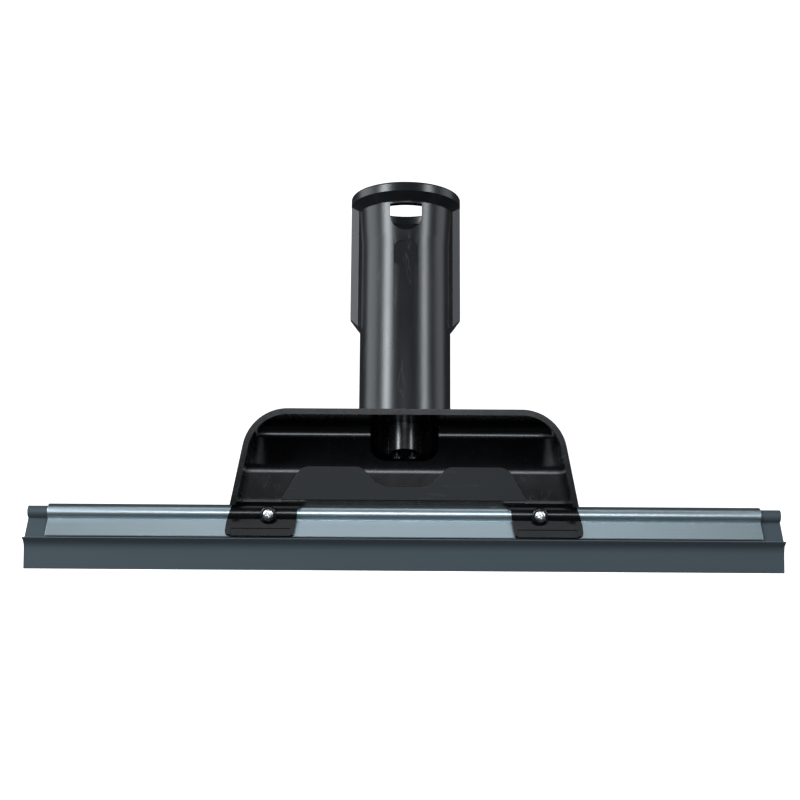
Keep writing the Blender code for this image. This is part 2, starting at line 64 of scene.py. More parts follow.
# --- places taken from the frame -------------------------------------------------
MOUNTS = {m["name"]: m for m in frame["record"]["mounts"]}
JOINTS = {j["name"]: j for j in frame["joints"]}
AXIS = Vector(MOUNTS["coupling_mouth"]["axis"]).normalized()
MOUTH = Vector((0, *MOUNTS["coupling_mouth"]["pos_m"][1:]))
LEAN = atan2(AXIS.y, AXIS.z)
ROOT = Vector(JOINTS["lip_flex"]["pos_m"])
RAIL_LOW, RAIL_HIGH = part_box("squeegee_rail")
STRIP_LOW, STRIP_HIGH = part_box("blade_strip")
SCREW_LOW, SCREW_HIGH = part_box("clamp_screw_right")
PANEL_LOW, PANEL_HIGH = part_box("baffle_panel")
HOOD_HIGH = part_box("hood")[1]
SCREW_X = (SCREW_LOW.x + SCREW_HIGH.x) / 2
BEAD_R = 3.25 * MM
BEAD = Vector((0, RAIL_HIGH.y - BEAD_R, RAIL_HIGH.z - BEAD_R))
TUBE = Matrix.Translation(MOUTH) @ Matrix.Rotation(-LEAN, 4, "X")

# --- rail and rubber blade ---------------------------------------------------------
BLADE_SLOPE = radians(39)
WEB_SHIFT = 1.6 * MM
BORE_R = 2.7 * MM
SLOT_HALF = 0.9 * MM
FLANGE_THICK = 0.8 * MM
FLANGE_END = 11.05 * MM
REAR_LIP_THICK = 0.6 * MM
REAR_LIP_END = 5.8 * MM
RUBBER_R = 2.4 * MM
WEB_HALF = 0.6 * MM
LIP_HALF = 0.85 * MM
LIP_NARROWING = 0.1 * MM
EDGE_HALF = 0.5 * MM
LIP_SLOPE = radians(5)
RIDGE_REACH = 3.8 * MM

# --- coupling tube, along its own axis from the mouth --------------------------------
TUBE_R = 18.5 * MM
COLLAR_R = 22.6 * MM
COLLAR_LOW = -4.2 * MM
FLARE_R = 19.3 * MM
FLARE_TOP = -7.1 * MM
FLARE_LOW = -20.5 * MM
MOUTH_R = 20.0 * MM
SOCKET_R = 16.2 * MM
LEDGE_R = 14.8 * MM
LEDGE_Z = -61.5 * MM
FLOOR_TOP = -90.4 * MM
TUBE_LOW = -93.0 * MM
KEY_WIDTH = 9.0 * MM
KEY_LOW = -52.0 * MM
KEY_CHAMFER = 4.6 * MM
KEY_FACET = 3.3 * MM
WINDOW_HALF = 6.4 * MM
WINDOW_TOP = -8.0 * MM
WINDOW_LOW = -19.1 * MM
DISC_Z = -28.9 * MM
DISC_R = 5.8 * MM
DISC_DEPTH = 0.6 * MM

# --- pipe and nozzle, along the same axis --------------------------------------------
NOZZLE_R = 6.2 * MM
NOZZLE_END = -107.9 * MM
NOZZLE_CUT = radians(15)
PIPE_R = 4.8 * MM
PIPE_LOW = -98.5 * MM
OUTLET_HALF = 1.95 * MM
OUTLET_X = 3.1 * MM
OUTLET_BACK = 1.2 * MM
OUTLET_FRONT = -2.2 * MM

# --- hood ------------------------------------------------------------------------------
WALL = 2.3 * MM
HOOD_FRONT = BEAD.y - 7.0 * MM
HOOD_REAR_LOW = BEAD.y + 7.8 * MM
HOOD_TOP = HOOD_HIGH.z
HOOD_BOTTOM = 18.0 * MM
SIDE_BOTTOM = 25.3 * MM
HALF_TOP = 60.1 * MM
HALF_LOW = 69.6 * MM
CORNER_R = 18.0 * MM
KNEE = 38.6 * MM
KNEE_R = 6.0 * MM
REAR_LEAN = radians(29)
BACK_R = 7.0 * MM
SPINE_R = 16.5 * MM
SPINE_BORE_R = 13.8 * MM
SPINE_END = -113.2 * MM
SEAT_TOP = -93.3 * MM
SEAT_THICK = 3.0 * MM
EAR_R = 4.45 * MM
TAB_END = 11.5 * MM
TAB_IN = SLOT_HALF + FLANGE_THICK + 0.3 * MM
TAB_OUT = TAB_IN + 1.3 * MM
RECESS_TOP = 8.2 * MM
RECESS_DEPTH = 0.35 * MM
BOSS_R = 3.2 * MM
BOSS_FRONT = 5.8 * MM
HEAD_SEAT = 4.8 * MM
HEAD_R = 2.1 * MM
HEAD_THICK = 1.3 * MM
SHANK_R = 1.0 * MM
GAP = 0.3 * MM
EAR_X = 54 * MM
EAR_WIDTH = 36 * MM
EAR_FRONT = (           # (x, z, corner radius) in millimetres, seen from the front
    (66.6, 30.0, 0), (67.4, 25.5, 1.0), (69.6, 18.6, 2.0), (69.9, 13.0, 2.4), (43.3, 13.0, 0.5),
    (42.3, 18.2, 1.0), (41.9, 23.2, 1.5), (38.6, 27.2, 1.0), (38.4, 30.0, 0))
RECESS_X = 55.9 * MM
RECESS_WIDTH = 23.3 * MM
BOSS_ROOT = 3.8 * MM
BOSS_EDGE_R = 0.7 * MM
PEG_X = 30 * MM
PEG_UP = 6 * MM
PEG_R = 1.2 * MM
PANEL_THICK = 1.2 * MM


# --- drawing -----------------------------------------------------------------------------
def rounded(corners):
    """Points of a polygon whose corners (x, y, radius) are rounded off with arcs."""
    points = []
    for i, (x, y, radius) in enumerate(corners):
        here = Vector((x, y))
        if not radius:
            points.append(here)
            continue
        before = (Vector(corners[i - 1][:2]) - here).normalized()
        after = (Vector(corners[(i + 1) % len(corners)][:2]) - here).normalized()
        half = acos(max(-1.0, min(1.0, before.dot(after)))) / 2
        centre = here + (before + after).normalized() * (radius / sin(half))
        start = here + before * (radius / tan(half)) - centre
        sweep = (pi - 2 * half) * (1 if before.cross(after) < 0 else -1)
        steps = max(3, ceil(abs(sweep) / ARC_STEP))
        points += [centre + Matrix.Rotation(sweep * k / steps, 2) @ start for k in range(steps + 1)]
    return points


def arc(radius, start, end, centre=(0, 0)):
    """Points on a circle from one angle to another."""
    steps = max(3, ceil(abs(end - start) / ARC_STEP))
    angles = [start + (end - start) * k / steps for k in range(steps + 1)]
    return [Vector((centre[0] + radius * cos(a), centre[1] + radius * sin(a))) for a in angles]


def web_point(along, aside):
    """Side view point, from the bead's centre: along the web, and aside from it towards the glass."""
    ahead = aside - WEB_SHIFT
    return Vector((-sin(BLADE_SLOPE) * along - cos(BLADE_SLOPE) * ahead,
                   -cos(BLADE_SLOPE) * along + sin(BLADE_SLOPE) * ahead))


def web_angle(radius, aside):
    """Angle, in the side view, where a line parallel to the web leaves a circle round the bead."""
    point = web_point(sqrt(radius ** 2 - (aside - WEB_SHIFT) ** 2), aside)
    return atan2(point.y, point.x) % (2 * pi)


def side_view(x=0.0, y=0.0, z=0.0):
    """Places an outline drawn as (Y, Z), looking along -X."""
    return Matrix.Translation((x, y, z)) @ Euler((pi / 2, 0, pi / 2)).to_matrix().to_4x4()


def front_view(x=0.0, y=0.0, z=0.0):
    """Places an outline drawn as (X, Z), looking along +Y."""
    return Matrix.Translation((x, y, z)) @ Euler((pi / 2, 0, 0)).to_matrix().to_4x4()


# --- mesh work ------------------------------------------------------------------------------
def outward(shape):
    """Point the faces of a closed bmesh outwards."""
    bmesh.ops.recalc_face_normals(shape, faces=shape.faces)
    if shape.calc_volume(signed=True) < 0:
        bmesh.ops.reverse_faces(shape, faces=shape.faces)
    return shape


def prism(points, thick, place):
    """A bmesh of a flat outline, extruded to a thickness about its own plane."""
    shape = bmesh.new()
    ring = [shape.verts.new((x, y, -thick / 2)) for x, y in points]
    edges = [shape.edges.new(pair) for pair in zip(ring, ring[1:] + ring[:1])]
    face = bmesh.ops.edgeloop_fill(shape, edges=edges)["faces"]
    grown = bmesh.ops.extrude_face_region(shape, geom=face)["geom"]
    moved = [v for v in grown if isinstance(v, bmesh.types.BMVert)]
    bmesh.ops.translate(shape, verts=moved, vec=(0, 0, thick))
    bmesh.ops.transform(shape, matrix=place, verts=shape.verts)
    return outward(shape)


def spun(profile, place, steps=144, closed=True):
    """A bmesh of a profile of (radius, height) points turned round +Z."""
    shape = bmesh.new()
    ring = [shape.verts.new((radius, 0, height)) for radius, height in profile]
    pairs = list(zip(ring, ring[1:])) + ([(ring[-1], ring[0])] if closed else [])
    edges = [shape.edges.new(pair) for pair in pairs]
    bmesh.ops.spin(shape, geom=ring + edges, cent=(0, 0, 0), axis=(0, 0, 1), angle=2 * pi,
                   steps=steps, use_merge=True)
    bmesh.ops.remove_doubles(shape, verts=shape.verts, dist=0.002 * MM)
    bmesh.ops.transform(shape, matrix=place, verts=shape.verts)
    return outward(shape)


def block(low, high, place):
    """A bmesh box between two corners."""
    low, high = Vector(low), Vector(high)
    shape = bmesh.new()
    bmesh.ops.create_cube(shape, size=1.0)
    size = Matrix.Diagonal((*(high - low), 1))
    bmesh.ops.transform(shape, matrix=place @ Matrix.Translation((low + high) / 2) @ size, verts=shape.verts)
    return shape


def rod(radius, low, high, place, steps=48):
    """A bmesh cylinder along +Z."""
    shape = bmesh.new()
    bmesh.ops.create_cone(shape, cap_ends=True, segments=steps, radius1=radius, radius2=radius,
                          depth=high - low, matrix=place @ Matrix.Translation((0, 0, (low + high) / 2)))
    return shape


def sharp_edges(shape, angle, test=None):
    """Edges that turn by more than an angle, and that pass a test on their middle."""
    found = []
    for edge in shape.edges:
        if len(edge.link_faces) == 2 and edge.calc_face_angle(0) > angle:
            middle = (edge.verts[0].co + edge.verts[1].co) / 2
            if test is None or test(middle):
                found.append(edge)
    return found


def eased(shape, width, segments=2, angle=radians(30), test=None):
    """Round off the sharp edges of a bmesh."""
    bmesh.ops.bevel(shape, geom=sharp_edges(shape, angle, test), offset=width, offset_type="OFFSET",
                    segments=segments, profile=0.5, affect="EDGES", clamp_overlap=True, material=-1)
    return shape


def solid(shape, name="tool"):
    """A bmesh made an object in the scene."""
    mesh = bpy.data.meshes.new(name)
    shape.to_mesh(mesh)
    shape.free()
    obj = bpy.data.objects.new(name, mesh)
    bpy.context.scene.collection.objects.link(obj)
    return obj


def melted(obj):
    """A bmesh of an object's mesh; the object itself is removed."""
    shape = bmesh.new()
    shape.from_mesh(obj.data)
    bpy.data.objects.remove(obj, do_unlink=True)
    return shape


def carve(obj, operation, *shapes):
    """Join to, cut from or cross an object with bmeshes, one after another."""
    for shape in shapes:
        tool = solid(shape)
        modifier = obj.modifiers.new("carve", "BOOLEAN")
        modifier.operation = operation
        modifier.solver = "MANIFOLD"
        modifier.object = tool
        bpy.context.view_layer.update()
        evaluated = obj.evaluated_get(bpy.context.evaluated_depsgraph_get())
        result = bpy.data.meshes.new_from_object(evaluated)
        obj.modifiers.clear()
        obj.data = result
        bpy.data.objects.remove(tool, do_unlink=True)
    return obj


def ease_object(obj, width, segments=2, angle=radians(30), test=None):
    """Round off the sharp edges of an object's mesh."""
    shape = bmesh.new()
    shape.from_mesh(obj.data)
    bmesh.ops.remove_doubles(shape, verts=shape.verts, dist=0.004 * MM)
    eased(shape, width, segments, angle, test)
    shape.to_mesh(obj.data)
    shape.free()
    return obj


def dress(obj, name, paint, body, slot, *nodes):
    """Name and shade a finished piece, tie it to its body, and hide the CAD nodes it stands for."""
    obj.name = name
    obj.data.name = name
    obj.data.materials.clear()
    obj.data.materials.append(paint)
    obj.data.shade_smooth()
    obj.data.set_sharp_from_angle(angle=radians(32))
    normals = obj.modifiers.new("even_normals", "WEIGHTED_NORMAL")
    normals.keep_sharp = True
    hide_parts(*nodes)
    if body:
        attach(obj, body)
    return obj


# --- finishes ---------------------------------------------------------------------------------
class Value:
    """A number that varies over a surface; sums and products of it add Math nodes."""

    def __init__(self, paint, socket):
        self.paint = paint
        self.socket = socket

    def maths(self, operation, first, second):
        node = self.paint.add("ShaderNodeMath", {"operation": operation}, {0: first, 1: second})
        return Value(self.paint, node.outputs[0])

    def __add__(self, other):
        return self.maths("ADD", self, other)

    def __radd__(self, other):
        return self.maths("ADD", other, self)

    def __mul__(self, other):
        return self.maths("MULTIPLY", self, other)

    def __rmul__(self, other):
        return self.maths("MULTIPLY", other, self)


class Paint:
    """A Principled material built up node by node."""

    def __init__(self, name, **constants):
        self.material = bpy.data.materials.new(name)
        self.material.use_nodes = True
        self.tree = self.material.node_tree
        self.shader = self.tree.nodes["Principled BSDF"]
        for socket, value in constants.items():
            self.shader.inputs[socket.replace("_", " ")].default_value = value
        self.place = self.add("ShaderNodeTexCoord").outputs["Object"]

    def add(self, kind, settings=None, inputs=None):
        """A node of a kind, with its settings made first and then its sockets' values or links."""
        node = self.tree.nodes.new(kind)
        for key, value in (settings or {}).items():
            if key == "stops":
                ramp = node.color_ramp.elements
                while len(ramp) < len(value):
                    ramp.new(0.5)
                for stop, (position, level) in zip(ramp, value):
                    stop.position = position
                    stop.color = (level, level, level, 1)
            else:
                setattr(node, key, value)
        for key, value in (inputs or {}).items():
            if isinstance(value, Value):
                value = value.socket
            if isinstance(value, bpy.types.NodeSocket):
                self.tree.links.new(value, node.inputs[key])
            else:
                node.inputs[key].default_value = value
        return node

    def moved(self, offset=(0, 0, 0), turn=(0, 0, 0), stretch=(1, 1, 1)):
        """Object coordinates, shifted, turned and stretched."""
        return self.add("ShaderNodeMapping", {"vector_type": "POINT"},
                        {"Vector": self.place, "Location": offset, "Rotation": turn,
                         "Scale": stretch}).outputs[0]

    def noise(self, scale, detail=3.0, roughness=0.5, where=None):
        node = self.add("ShaderNodeTexNoise", None,
                        {"Vector": where or self.place, "Scale": scale, "Detail": detail,
                         "Roughness": roughness})
        return Value(self, node.outputs["Fac"])

    def cells(self, scale, where=None):
        node = self.add("ShaderNodeTexVoronoi", {"feature": "F1"},
                        {"Vector": where or self.place, "Scale": scale})
        return Value(self, node.outputs["Distance"])

    def ramp(self, value, *stops):
        """A value led through a grey ramp of (position, level) stops."""
        node = self.add("ShaderNodeValToRGB", {"stops": stops}, {"Fac": value})
        return Value(self, node.outputs["Color"])

    def mix(self, factor, first, second):
        """A colour between two colours."""
        node = self.add("ShaderNodeMix", {"data_type": "RGBA"}, {0: factor, 6: first, 7: second})
        return node.outputs[2]

    def finish(self, colour, roughness, height, depth, strength=1.0):
        """Link the varying colour, roughness and relief, and give back the material."""
        self.tree.links.new(colour, self.shader.inputs["Base Color"])
        self.tree.links.new(roughness.socket, self.shader.inputs["Roughness"])
        bump = self.add("ShaderNodeBump", None, {"Height": height, "Distance": depth, "Strength": strength})
        self.tree.links.new(bump.outputs[0], self.shader.inputs["Normal"])
        return self.material


def grey(level, tint=(1.0, 1.0, 1.0)):
    return (level * tint[0], level * tint[1], level * tint[2], 1.0)


def scratches(paint, scale, stretch, turn, rarity):
    """Thin, rare, nearly straight marks: the crests of a stretched noise."""
    where = paint.moved(turn=turn, stretch=stretch)
    lines = paint.noise(scale, 2.0, 0.4, where)
    return paint.ramp(lines, (rarity, 0.0), (rarity + 0.012, 1.0), (rarity + 0.024, 0.0))


def tube_plastic():
    """Satin black moulding: fine spark-eroded grain, faint flow lines and light scuffs."""
    paint = Paint("satin_black_moulding", Specular_IOR_Level=0.5)
    along = paint.moved(turn=(LEAN, 0, 0), stretch=(1, 1, 0.12))
    flow = paint.noise(260, 4.0, 0.55, along)
    cloud = paint.noise(45, 3.0)
    grain = paint.noise(3800, 2.0, 0.6)
    pits = paint.cells(2300)
    marks = scratches(paint, 240, (1, 1, 0.05), (LEAN, 0.25, 0), 0.66)
    colour = paint.mix(flow * 0.6 + cloud * 0.4, grey(0.004, (0.88, 1.0, 1.2)), grey(0.010, (0.9, 1.0, 1.15)))
    colour = paint.mix(marks * 0.25, colour, grey(0.06))
    roughness = 0.23 + cloud * 0.05 + flow * 0.06 + marks * 0.12
    return paint.finish(colour, roughness, grain * 0.5 + pits * 0.5 + flow * 0.5, 0.012 * MM)


def hood_plastic():
    """Gloss black moulding with a slight waviness, hairline scratches and a little dust."""
    paint = Paint("gloss_black_moulding", Specular_IOR_Level=0.42)
    waves = paint.noise(70, 2.0)
    haze = paint.noise(190, 5.0, 0.6)
    hair = scratches(paint, 420, (1, 0.08, 0.5), (0.3, 0.1, 0.8), 0.64)
    dust = paint.ramp(paint.cells(900), (0.0, 1.0), (0.045, 1.0), (0.07, 0.0))
    specks = dust * paint.ramp(paint.noise(150, 2.0), (0.52, 0.0), (0.62, 1.0))
    colour = paint.mix(haze, grey(0.0012, (0.95, 1.0, 1.2)), grey(0.0028, (0.95, 1.0, 1.15)))
    colour = paint.mix(specks * 0.06 + hair * 0.05, colour, grey(0.03))
    roughness = 0.17 + haze * 0.1 + hair * 0.12 + specks * 0.15
    return paint.finish(colour, roughness, waves * 1.0 + haze * 0.12, 0.05 * MM)


def nozzle_plastic():
    """Gloss black moulding of the nozzle, with turned marks round its axis."""
    paint = Paint("nozzle_moulding", Specular_IOR_Level=0.5)
    rings = paint.noise(900, 2.0, 0.5, paint.moved(turn=(LEAN, 0, 0), stretch=(0.08, 0.08, 1)))
    haze = paint.noise(400, 4.0)
    colour = paint.mix(haze, grey(0.003), grey(0.007, (0.95, 1.0, 1.1)))
    return paint.finish(colour, 0.2 + haze * 0.12, rings * 0.7 + haze * 0.3, 0.012 * MM)


def pipe_plastic():
    """Matt grey heat-proof moulding of the inner pipe."""
    paint = Paint("heat_proof_moulding")
    cloud = paint.noise(120, 4.0)
    grain = paint.noise(3000, 2.0, 0.6)
    colour = paint.mix(cloud, grey(0.075, (0.98, 1.0, 1.05)), grey(0.11, (1.0, 1.0, 1.02)))
    return paint.finish(colour, 0.45 + cloud * 0.15, grain, 0.015 * MM)


def panel_plastic():
    """Satin dark grey panel with a fine even texture."""
    paint = Paint("satin_grey_panel", Specular_IOR_Level=0.3)
    cloud = paint.noise(60, 4.0)
    grain = paint.noise(4200, 2.0, 0.6)
    marks = scratches(paint, 300, (0.08, 1, 1), (0, 0.1, 0), 0.66)
    colour = paint.mix(cloud, grey(0.008, (0.86, 1.0, 1.1)), grey(0.013, (0.88, 1.0, 1.08)))
    colour = paint.mix(marks * 0.2, colour, grey(0.06))
    return paint.finish(colour, 0.42 + cloud * 0.1, grain, 0.012 * MM)


def rail_aluminium():
    """Blue-grey satin anodising with the extrusion's fine lines along the rail."""
    paint = Paint("anodised_aluminium", Metallic=1.0)
    lines = paint.noise(1500, 3.0, 0.6, paint.moved(stretch=(0.004, 1, 1)))
    broad = paint.noise(220, 3.0, 0.5, paint.moved(stretch=(0.03, 1, 1)))
    cloud = paint.noise(35, 3.0)
    grain = paint.noise(5200, 1.0)
    marks = scratches(paint, 260, (0.3, 1, 1), (0.2, 0.5, 0.1), 0.67)
    colour = paint.mix(lines * 0.5 + broad * 0.3 + cloud * 0.2,
                       (0.43, 0.52, 0.565, 1), (0.56, 0.655, 0.69, 1))
    colour = paint.mix(marks * 0.3, colour, (0.72, 0.78, 0.80, 1))
    roughness = 0.25 + lines * 0.12 + cloud * 0.05 + marks * 0.1
    return paint.finish(colour, roughness, lines * 0.8 + grain * 0.2, 0.006 * MM)


def blade_rubber():
    """Matt blue-grey extruded rubber: faint lines along the strip, bloom and tiny specks."""
    paint = Paint("blue_grey_rubber", Sheen_Weight=0.12, Sheen_Roughness=0.5, Specular_IOR_Level=0.35)
    lines = paint.noise(1900, 3.0, 0.6, paint.moved(stretch=(0.01, 1, 1)))
    bloom = paint.noise(38, 4.0, 0.6, paint.moved(stretch=(0.35, 1, 1)))
    grain = paint.noise(3600, 2.0, 0.6)
    specks = paint.ramp(paint.cells(1300), (0.0, 1.0), (0.05, 1.0), (0.09, 0.0))
    rare = specks * paint.ramp(paint.noise(240, 2.0), (0.56, 0.0), (0.64, 1.0))
    colour = paint.mix(bloom * 0.7 + lines * 0.3, (0.028, 0.042, 0.051, 1), (0.043, 0.059, 0.070, 1))
    colour = paint.mix(rare * 0.4, colour, (0.16, 0.18, 0.19, 1))
    roughness = 0.5 + bloom * 0.14 + grain * 0.06
    return paint.finish(colour, roughness, lines * 0.5 + grain * 0.5 + rare * 0.6, 0.014 * MM)


def screw_steel(centre):
    """Bright zinc plating with rings left by turning, round one screw's axis."""
    paint = Paint("zinc_plated_steel", Metallic=1.0)
    across = paint.moved(offset=(-centre.x, 0, -centre.z), stretch=(1, 0, 1))
    radius = paint.add("ShaderNodeVectorMath", {"operation": "LENGTH"}, {0: across}).outputs["Value"]
    rings = paint.noise(5200, 2.0, 0.6, paint.add("ShaderNodeCombineXYZ", None, {"X": radius}).outputs[0])
    cloud = paint.noise(900, 4.0)
    colour = paint.mix(cloud, (0.72, 0.72, 0.71, 1), (0.86, 0.87, 0.88, 1))
    return paint.finish(colour, 0.18 + cloud * 0.14 + rings * 0.06, rings, 0.006 * MM)


# --- pieces --------------------------------------------------------------------------------------
def make_coupling_tube():
    """Socket tube with collar, flare, latch window, disc recess and side keys."""
    hole = NOZZLE_R + 0.4 * MM
    tube = solid(spun([
        (MOUTH_R + 0.7 * MM, 0), *arc(0.9 * MM, pi / 2, 0, (COLLAR_R - 0.9 * MM, -0.9 * MM)),
        (COLLAR_R, COLLAR_LOW + 0.35 * MM), (COLLAR_R - 0.35 * MM, COLLAR_LOW),
        (FLARE_R + 0.45 * MM, FLARE_TOP + 0.4 * MM), (FLARE_R + 0.1 * MM, FLARE_TOP),
        (FLARE_R, FLARE_TOP - 0.4 * MM), (TUBE_R + 0.12 * MM, FLARE_LOW + 1.0 * MM),
        (TUBE_R, FLARE_LOW - 1.2 * MM),
        (TUBE_R, TUBE_LOW), (hole, TUBE_LOW), (hole, FLOOR_TOP), (LEDGE_R, FLOOR_TOP),
        (LEDGE_R, LEDGE_Z), (SOCKET_R, LEDGE_Z), (SOCKET_R, -8.2 * MM),
        (MOUTH_R, -3.6 * MM), (MOUTH_R, -0.7 * MM)], TUBE, 160))
    inner = SOCKET_R + 1.0 * MM
    foot = KEY_LOW - KEY_CHAMFER
    key_zone = (TUBE @ Vector((0, 0, KEY_LOW))).z
    for side in (-1, 1):
        key = solid(prism(rounded([
            (side * inner, foot, 0), (side * TUBE_R, foot, 0.0),
            (side * (COLLAR_R - 0.1 * MM), KEY_LOW, 0.6 * MM),
            (side * (COLLAR_R - 0.1 * MM), -4.4 * MM, 0.5 * MM),
            (side * (COLLAR_R - 1.6 * MM), -3.2 * MM, 0), (side * (MOUTH_R + 1.2 * MM), -3.2 * MM, 0),
            (side * inner, -10 * MM, 0)]), KEY_WIDTH, TUBE @ front_view()))
        half = KEY_WIDTH / 2 + 0.1 * MM
        outer = COLLAR_R
        carve(key, "INTERSECT", prism([
            (side * (inner - 1 * MM), -half), (side * (outer - KEY_FACET), -half),
            (side * outer, KEY_FACET - half), (side * outer, half - KEY_FACET),
            (side * (outer - KEY_FACET), half), (side * (inner - 1 * MM), half)],
            140 * MM, TUBE @ Matrix.Translation((0, 0, -30 * MM))))
        carve(tube, "UNION", eased(melted(key), 0.3 * MM, 2, radians(28),
                                   lambda p: abs(p.x) > TUBE_R and p.z > key_zone - 5 * MM))
    window = prism([(-WINDOW_HALF, WINDOW_TOP), *arc(WINDOW_HALF, pi, 2 * pi, (0, WINDOW_LOW + WINDOW_HALF)),
                    (WINDOW_HALF, WINDOW_TOP)], 16 * MM, TUBE @ front_view(y=-TUBE_R))
    disc = rod(DISC_R, TUBE_R - DISC_DEPTH, TUBE_R + 4 * MM, TUBE @ front_view(z=DISC_Z), 72)
    carve(tube, "DIFFERENCE", window, disc)
    return dress(tube, "coupling_tube_fine", tube_plastic(), "housing", "tube_plastic", "coupling_tube")


def make_steam_pipe():
    """Inner pipe with its receiver, flange and tail."""
    low = LEDGE_Z + 0.3 * MM
    high = low + 3 * MM
    pipe = solid(spun([
        (6.9 * MM, -38 * MM), *arc(0.5 * MM, pi / 2, 0, (8.0 * MM, -38.5 * MM)), (8.5 * MM, high + 0.6 * MM),
        (9.1 * MM, high), (15.5 * MM, high), (15.9 * MM, high - 0.4 * MM), (15.9 * MM, low), (8.5 * MM, low),
        (8.5 * MM, low - 4 * MM), (PIPE_R, low - 8 * MM), (PIPE_R, PIPE_LOW), (3.4 * MM, PIPE_LOW),
        (3.4 * MM, -57 * MM), (6.2 * MM, -57 * MM), (6.2 * MM, -38.7 * MM)], TUBE, 96))
    return dress(pipe, "steam_pipe_fine", pipe_plastic(), "housing", "pipe_plastic", "steam_pipe")


def make_steam_nozzle():
    """Nozzle with its top flange, slanting end face and two outlets."""
    low = FLOOR_TOP + 0.3 * MM
    high = low + 1.8 * MM
    sleeve = PIPE_R + 0.3 * MM
    foot = NOZZLE_END - 4 * MM
    nozzle = solid(spun([
        (0, PIPE_LOW - 2 * MM), (sleeve, PIPE_LOW - 2 * MM), (sleeve, high), (7.8 * MM, high),
        (7.8 * MM, low), (NOZZLE_R, low), (NOZZLE_R, foot), (0, foot)], TUBE, 96, closed=False))
    slant = TUBE @ Matrix.Translation((0, 0, NOZZLE_END)) @ Matrix.Rotation(-NOZZLE_CUT, 4, "X")
    carve(nozzle, "DIFFERENCE", block((-20 * MM, -20 * MM, -30 * MM), (20 * MM, 20 * MM, 0), slant))
    for side in (-1, 1):
        outline = [*arc(OUTLET_HALF, 0, pi, (side * OUTLET_X, OUTLET_BACK)),
                   *arc(OUTLET_HALF, pi, 2 * pi, (side * OUTLET_X, OUTLET_FRONT))]
        outlet = prism(outline, 30 * MM, TUBE @ Matrix.Translation((0, 0, PIPE_LOW - 16 * MM)))
        carve(nozzle, "DIFFERENCE", outlet)
    ease_object(nozzle, 0.2 * MM, 2, radians(40), lambda p: (TUBE.inverted() @ p).z < NOZZLE_END + 3 * MM)
    return dress(nozzle, "steam_nozzle_fine", nozzle_plastic(), "housing", "nozzle_plastic", "steam_nozzle")


def hood_block(inset, front, bottom, side_bottom):
    """Where the hood's front, side and top outlines, drawn inwards by inset, cross."""
    slope = (HALF_LOW - HALF_TOP) / (HOOD_TOP - HOOD_BOTTOM)
    top = HOOD_TOP - inset
    corner = CORNER_R - inset
    half_top = HALF_TOP + slope * inset - inset * hypot(1, slope)
    half_low = half_top + slope * (top - bottom)
    ahead = solid(prism(rounded([
        (-half_low, bottom, 0), (half_low, bottom, 0), (half_top, top, corner), (-half_top, top, corner)]),
        120 * MM, front_view()))
    rear = HOOD_REAR_LOW - inset
    knee = KNEE + inset * tan(REAR_LEAN / 2)
    lid = HOOD_TOP - inset / cos(LEAN)
    back = (rear + tan(REAR_LEAN) * (lid + HOOD_FRONT * tan(LEAN) - knee)) / (
        1 + tan(REAR_LEAN) * tan(LEAN))
    back_top = lid - (back - HOOD_FRONT) * tan(LEAN)
    notch = min(rear - 0.2 * MM, BEAD.y + 4.2 * MM)
    carve(ahead, "INTERSECT", prism(rounded([
        (front, side_bottom, 0), (notch, side_bottom, 0), (notch, bottom, 0),
        (rear, bottom, 0), (rear, knee, KNEE_R + inset), (back, back_top, BACK_R - inset),
        (front, back_top + (back - front) * tan(LEAN), 0)]), 200 * MM, side_view()))
    return ahead


def ear(side):
    """One ear: a block round the rail's bead with a tab in front of the flange."""
    wall_in = HOOD_REAR_LOW - BEAD.y - WALL + 0.6 * MM
    outline = [Vector((wall_in, EAR_R)), *arc(EAR_R, pi / 2, web_angle(EAR_R, TAB_OUT)),
               web_point(TAB_END - 0.4 * MM, TAB_OUT), web_point(TAB_END, TAB_OUT - 0.4 * MM),
               web_point(TAB_END, TAB_IN - 0.2 * MM), web_point(0, TAB_IN - 0.2 * MM),
               Vector((wall_in, -1.5 * MM))]
    piece = solid(prism(outline, EAR_WIDTH, side_view(side * EAR_X, BEAD.y, BEAD.z)))
    front = rounded([(side * x * MM, z * MM, r * MM) for x, z, r in EAR_FRONT])
    carve(piece, "INTERSECT", prism(front, 40 * MM, front_view(y=BEAD.y)))
    carve(piece, "DIFFERENCE", prism([
        web_point(RECESS_TOP, TAB_OUT - RECESS_DEPTH), web_point(RECESS_TOP, TAB_OUT + 1 * MM),
        web_point(TAB_END + 2 * MM, TAB_OUT + 1 * MM), web_point(TAB_END + 2 * MM, TAB_OUT - RECESS_DEPTH)],
        RECESS_WIDTH, side_view(side * RECESS_X, BEAD.y, BEAD.z)))
    shape = melted(piece)
    bmesh.ops.remove_doubles(shape, verts=shape.verts, dist=0.004 * MM)
    return eased(shape, 0.22 * MM, 2, radians(35), lambda p: p.y < BEAD.y - 0.5 * MM)


